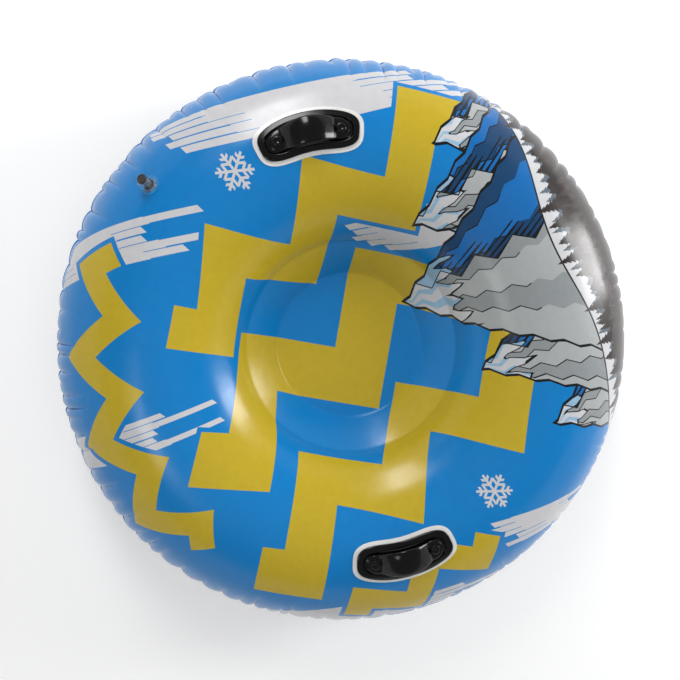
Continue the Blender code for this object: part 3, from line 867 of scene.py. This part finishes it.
def bean_object(name, side, steps, material):
    """A solid of bean outlines, each with an inset from the edge and a height, which may be a function."""
    mesh = bmesh.new()
    rings = []
    for inset, height in steps:
        ring = []
        for k in range(bean_points):
            angle = tau * k / bean_points
            along = (base_length / 2 - inset) * squarish(cos(angle), 2 / bean_squareness)
            across = (base_width / 2 - inset) * squarish(sin(angle), 2 / bean_squareness)
            level = height(along, across) if callable(height) else height
            ring.append(mesh.verts.new(over_crown(side, along, across + arch_at(along), level)))
        rings.append(ring)
    joined(mesh, rings)
    capped(mesh, rings[0])
    capped(mesh, rings[-1])
    return finished(name, outward(mesh), material)


def bore_for_rivets(piece, side, low, high):
    """Cuts the two holes of a handle's rivets, from below one height to above another."""
    for end in (-1, 1):
        place = handle_frame(side, end * rivet_spacing / 2)
        bore(piece, rivet_radius + rivet_play, low - bore_depth, high + bore_rise, place)


def make_patch(word, side):
    """White film patch, welded on under the base."""
    half = base_width / 2
    steps = [(share * half, film_seat) for share in strips] + [(-patch_border, film_seat)]
    steps += [(-patch_border, patch_top), (-patch_border * 0.4, patch_top)]
    steps += [(share * half, patch_top) for share in strips[::-1]]
    patch = bean_object(f"patch_{word}", side, steps, white_film)
    dress(patch, "tube", "white_film", f"handle_patch_{word}")


def dish(along, across):
    """Height of the floor of a base's dish, with its two bosses."""
    away = hypot(abs(along) - rivet_spacing / 2, across)
    share = min(max((boss_radius + boss_slope / 2 - away) / boss_slope, 0), 1)
    return dish_height + (boss_top - dish_height) * share * share * (3 - 2 * share)


def make_base(word, side):
    """Bean-shaped base: rounded rim, dished middle, and a round boss under each end of the grip."""
    low, half = patch_top + 0.00008, base_width / 2
    steps = [(share * half, low) for share in strips]
    steps += [(0.0012, low), (0.0003, low + 0.0004), (0, low + 0.0012)]
    steps += [(inset, rim_height - drop) for inset, drop in rim_profile]
    steps += [(dish_inset + (half - dish_inset) * share, dish) for share in dish_rings]
    base = bean_object(f"base_{word}", side, steps, black_vinyl)
    bore_for_rivets(base, side, boss_top, boss_top)
    dress(base, "tube", "black_vinyl", f"handle_base_{word}")


def make_grip(word, side):
    """Broad arched grip with a round pad at each end, where a rivet holds it."""
    half, pad_radius = grip_length / 2, grip_end_width / 2
    stations = [half * share for share in end_stations] + [finger_span * share for share in arch_stations]
    stations = [-s for s in stations] + [0.0] + stations[::-1]
    mesh = bmesh.new()
    rings = []
    for along in stations:
        lift = cos(min(abs(along) / finger_span, 0.5) * pi) ** 0.8
        width = grip_end_width + (grip_width - grip_end_width) * lift
        thickness = grip_end_thickness + (grip_thickness - grip_end_thickness) * lift
        past = max(0.0, (abs(along) - (half - pad_radius)) / pad_radius)
        width *= sqrt(max(0.0, 1 - past * past))
        thickness *= 1 - 0.12 * past**6
        ring = []
        for k in range(grip_sides):
            angle = tau * (k + 0.5) / grip_sides
            across = width / 2 * squarish(cos(angle), grip_squareness)
            up = 0.5 + 0.5 * squarish(sin(angle), grip_squareness)
            crown = grip_crown * lift * (1 - (2 * across / grip_width) ** 2) * up
            height = grip_seat + finger_gap * lift + thickness * up + crown
            place = over_crown(side, along, arch_at(along) + across - grip_lean * lift, height)
            ring.append(mesh.verts.new(place))
        rings.append(ring)
    joined(mesh, rings, ends=True)
    grip = finished(f"grip_{word}", outward(mesh), black_vinyl)
    bore_for_rivets(grip, side, grip_seat, grip_seat + grip_end_thickness)
    dress(grip, "tube", "black_vinyl", f"handle_grip_{word}")


def make_rivet(name, side, end):
    """Push rivet: a shank in the boss and a domed head with a shallow dimple."""
    low = grip_seat + grip_end_thickness + 0.0001
    r, h = rivet_head_radius, rivet_head_height
    profile = [(rivet_radius, boss_top - rivet_depth), (rivet_radius, low), (r, low), (r, low + h * 0.35)]
    profile += [(r * 0.92, low + h * 0.72), (r * 0.76, low + h * 0.95), (r * 0.58, low + h)]
    profile += [(r * 0.42, low + h * 0.93), (r * 0.22, low + h * 0.72), (r * 0.05, low + h * 0.68)]
    mesh = turned(bmesh.new(), softened(profile, 0.0004), 56)
    mesh.transform(handle_frame(side, end * rivet_spacing / 2))
    dress(finished(name, outward(mesh), black_vinyl), "tube", "black_vinyl", f"handle_{name}")


# Valve


def valve_frame():
    """Axes along the ring, across it and out of the film at the valve."""
    radial, upward = film_normal(valve_turn, outer_wall_width)
    cosine, sine = cos(valve_azimuth), sin(valve_azimuth)
    out = Vector((radial * cosine, radial * sine, upward))
    tangent = Vector((-sine, cosine, 0))
    place = Matrix((tangent, out.cross(tangent), out)).transposed().to_4x4()
    place.translation = Vector((*valve_foot, crown_height + crown_height * sin(valve_turn)))
    return place


def film_drop(along, across):
    """How far the round film falls below its tangent plane at the valve."""
    ring_round = (crown_radius + valve_setback) / film_normal(valve_turn, outer_wall_width)[0]
    speed = hypot(outer_wall_width * sin(valve_turn), crown_height * cos(valve_turn))
    section_round = speed**3 / (outer_wall_width * crown_height)
    return along**2 / (2 * ring_round) + across**2 / (2 * section_round)


def valve_piece(name, mesh, material, body, slot, *nodes):
    """A piece drawn about the valve's own axis, put in its place on the film."""
    mesh.transform(valve_frame())
    return dress(finished(name, outward(mesh), material), body, slot, *nodes)


def make_flange():
    """Disc welded on the film, with its embossed weld ring and the collar round the stem."""
    mesh = bmesh.new()
    rings = []
    for radius, height, follows in disc_profile:
        ring = round_ring(mesh, radius, height, 72)
        for vertex in ring:
            vertex.co.z -= film_drop(vertex.co.x, vertex.co.y) * follows
        rings.append(ring)
    joined(mesh, rings, close=True)
    for face in mesh.faces:
        face.material_index = int(face.calc_center_median().xy.length > welded_radius)
    disc = valve_piece("valve_disc", mesh, clear_vinyl, "tube", "clear_vinyl", "valve_flange")
    disc.data.materials.append(welded_vinyl)


def make_stem():
    """Soft tube with a rolled lip, and the shoulder that stops it under the film."""
    profile = [(stem_bore_radius, stem_inner_end), (stem_radius, stem_inner_end), (stem_radius, shoulder_low)]
    profile += [(shoulder_radius, shoulder_low), (shoulder_radius, shoulder_high)]
    profile += [(stem_radius + 0.0002, shoulder_high), (stem_radius, 0.004), (stem_radius - 0.0003, 0.0170)]
    profile += [(stem_radius, 0.0184), (0.0076, 0.0194)]
    profile += [(0.0076, stem_length), (stem_bore_radius, stem_length)]
    mesh = turned(bmesh.new(), softened(profile, 0.0007, closed=True), 64, hollow=True)
    valve_piece("stem", mesh, clear_vinyl, "stem", "clear_vinyl", "valve_stem")


def make_cap():
    """Cap with a short plug and a rounded rim."""
    low, seat = stem_length - 0.0032, stem_length + 0.0002
    profile = [(0.0004, low), (0.0016, low), (0.0021, low + 0.0012), (0.0020, seat), (0.0074, seat)]
    profile += [(0.0080, seat + 0.0006), (0.0080, seat + 0.0022), (0.0073, seat + 0.0030)]
    profile += [(0.0058, seat + 0.0031), (0.0052, seat + 0.0025), (0.0004, seat + 0.0026)]
    mesh = turned(bmesh.new(), softened(profile, 0.0005), 64)
    valve_piece("cap", mesh, cap_vinyl, "cap", "cap_vinyl", "valve_cap")


def make_strap():
    """Strap from the stem's lip round its fold to the edge of the cap."""
    low, high = stem_length - 0.0011, stem_length + 0.0017
    middle, bend = (low + high) / 2, (high - low) / 2
    turns = [radians(degrees) for degrees in range(-75, 76, 15)]
    path = [(0.0072, low), (0.0086, low)]
    path += [(strap_fold + bend * cos(turn), middle + bend * sin(turn)) for turn in turns]
    path += [(0.0086, high), (0.0076, high)]
    mesh = bmesh.new()
    rings = []
    for i, (x, z) in enumerate(path):
        a, b = path[max(i - 1, 0)], path[min(i + 1, len(path) - 1)]
        out = Vector((b[0] - a[0], 0, b[1] - a[1])).normalized().cross(Vector((0, 1, 0)))
        ring = []
        for k in range(16):
            angle = tau * (k + 0.5) / 16
            sideways = squarish(cos(angle), 0.5) * strap_half_width
            thick = squarish(sin(angle), 0.5) * strap_half_thickness
            ring.append(mesh.verts.new(Vector((x, sideways, z)) + out * thick))
        rings.append(ring)
    joined(mesh, rings, ends=True)
    place = valve_frame()
    mesh.transform(place)
    strap = finished("strap", outward(mesh), clear_vinyl)
    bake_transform(strap)


def make_flap():
    """Thin round flap that shuts the stem's inner end."""
    high = stem_inner_end - 0.0002
    low, middle = high - flap_thickness, 0.0003
    profile = [(middle, low), (flap_radius, low), (flap_radius, high), (middle, high)]
    mesh = turned(bmesh.new(), softened(profile, 0.0002), 48)
    valve_piece("flap", mesh, clear_vinyl, "flap", "clear_vinyl", "check_flap")


def make_baffle():
    """Band inside the chamber that ties the two creases together, with rounded windows for the air."""
    top = crease_height - film_thickness - baffle_gap
    levels = np.linspace(-top, top, baffle_rows)
    mesh = bmesh.new()
    rings = [round_ring(mesh, crease_radius, crown_height + level, baffle_columns) for level in levels]
    for row in range(baffle_rows - 1):
        up = (levels[row] + levels[row + 1]) / 2 / window_half_height
        for k in range(baffle_columns):
            across = ((k + 0.5) % window_spacing - window_spacing / 2) / window_half_width
            if abs(up) ** 3 + abs(across) ** 3 < 1:
                continue
            after = (k + 1) % baffle_columns
            mesh.faces.new((rings[row][k], rings[row][after], rings[row + 1][after], rings[row + 1][k]))
    bmesh.ops.delete(mesh, geom=[v for v in mesh.verts if not v.link_faces], context="VERTS")
    piece = finished("baffle", mesh, milky_film, baffle_thickness)
    piece.modifiers["film"].offset = 0
    dress(piece, "tube", "clear_film", "seat_baffle")


puckers = make_puckers()
seam_along = sampled(section(True))[1]
band_slack = 1.01  # how much longer the puffed band is than a straight one
crease_along = floor_radius + hypot(crease_radius - floor_radius, crease_height) * band_slack

printed_film = make_printed_film()
plain_film = make_plain_film("plain_pvc_film", "#1B3F70", 0.20)  # the underside: deep blue
white_film = make_plain_film("white_pvc_film", "#E6E6E4", 0.18)  # the patches: clean white, sharper glints
milky_film = make_plain_film("milky_pvc_film", "#D8DADA", 0.35)  # the baffle: uncoloured and half dull
# The handles: a deep black whose highlights stay narrow and not too bright
black_vinyl = make_vinyl("black_moulded_pvc", "#050606", 0.15, gloss=0.34)
# The valve: see-through, pale, with bright edges
clear_vinyl = make_vinyl("clear_moulded_pvc", "#D6DBDD", 0.14, 0.85)
# The disc's rim: clear vinyl that lies flat on the print and shows its blue
welded_vinyl = make_vinyl("clear_pvc_welded_on_the_print", "#1B84C6", 0.20)
# The cap: smoky brown that a little light comes through
cap_vinyl = make_vinyl("smoky_moulded_pvc", "#33291F", 0.18, 0.25)

top = film_object("film_top", 1, printed_film)
bore(top, valve_hole_radius, -0.02, 0.02, valve_frame())
dress(top, "tube", "printed_film", "top_sheet")
bottom = film_object("film_bottom", -1, plain_film)
dress(bottom, "tube", "plain_film", "bottom_sheet")
make_baffle()
for word, side in (("right", 1), ("left", -1)):
    make_patch(word, side)
    make_base(word, side)
    make_grip(word, side)
    make_rivet(f"rivet_{word}_front", side, side)
    make_rivet(f"rivet_{word}_back", side, -side)
make_flange()
make_stem()
make_cap()
make_strap()
make_flap()


# Studio


def make_studio():
    """A white paper floor that rises to a low wall all round, under a dim ceiling, three soft lamps and a
    broad fill that shows in no reflection."""
    profile = [(0.02, ground), (floor_flat, ground)]
    for turn in (radians(degrees) for degrees in range(0, 91, 6)):
        out, up = bend_radius * sin(turn), bend_radius * (1 - cos(turn))
        profile.append((bend_start + out, ground + up))
    profile.append((bend_start + bend_radius, wall_top))
    mesh = bmesh.new()
    rings = [round_ring(mesh, radius, height, studio_points) for radius, height in profile]
    mesh.faces.new(rings[0])
    joined(mesh, rings)
    # Matt paper: to the eye, white without a glint, and it keeps the soft shadow
    sockets = {"Base_Color": linear("#EFEFEF"), "Roughness": 0.8, "Specular_IOR_Level": 0.2}
    material, add, shader = surface("white_paper_floor", Emission_Color=(1, 1, 1, 1), **sockets)
    seen = add("LightPath")
    shown = add("MAXIMUM", seen.outputs["Is Camera Ray"], seen.outputs["Is Glossy Ray"])
    shown = add("MAXIMUM", shown, seen.outputs["Is Transmission Ray"])
    glow = add("MULTIPLY", shown, floor_glow)
    shader.id_data.links.new(glow.outputs[0], shader.inputs["Emission Strength"])
    finished("floor", mesh, material)

    world = bpy.data.worlds.new("studio")
    bpy.context.scene.world = world
    world.use_nodes = True
    tree = world.node_tree
    tree.nodes.clear()
    background = add_node(tree, "Background", (1, 1, 1, 1), ceiling_light)
    add_node(tree, "OutputWorld", background)

    for name, azimuth, height, distance, width, length, power, mirrored in lamps:
        data = bpy.data.lights.new(name, "AREA")
        data.shape = "RECTANGLE"
        data.size, data.size_y = width, length
        data.energy = power
        a, e = picture_right + radians(azimuth), radians(height)
        away = Vector((cos(a) * cos(e), sin(a) * cos(e), sin(e)))
        lamp = placed(name, data)
        lamp.location = away * distance
        lamp.rotation_euler = away.to_track_quat("Z", "Y").to_euler()
        lamp.visible_glossy = mirrored


make_studio()
bpy.context.scene.view_settings.view_transform = "Standard"
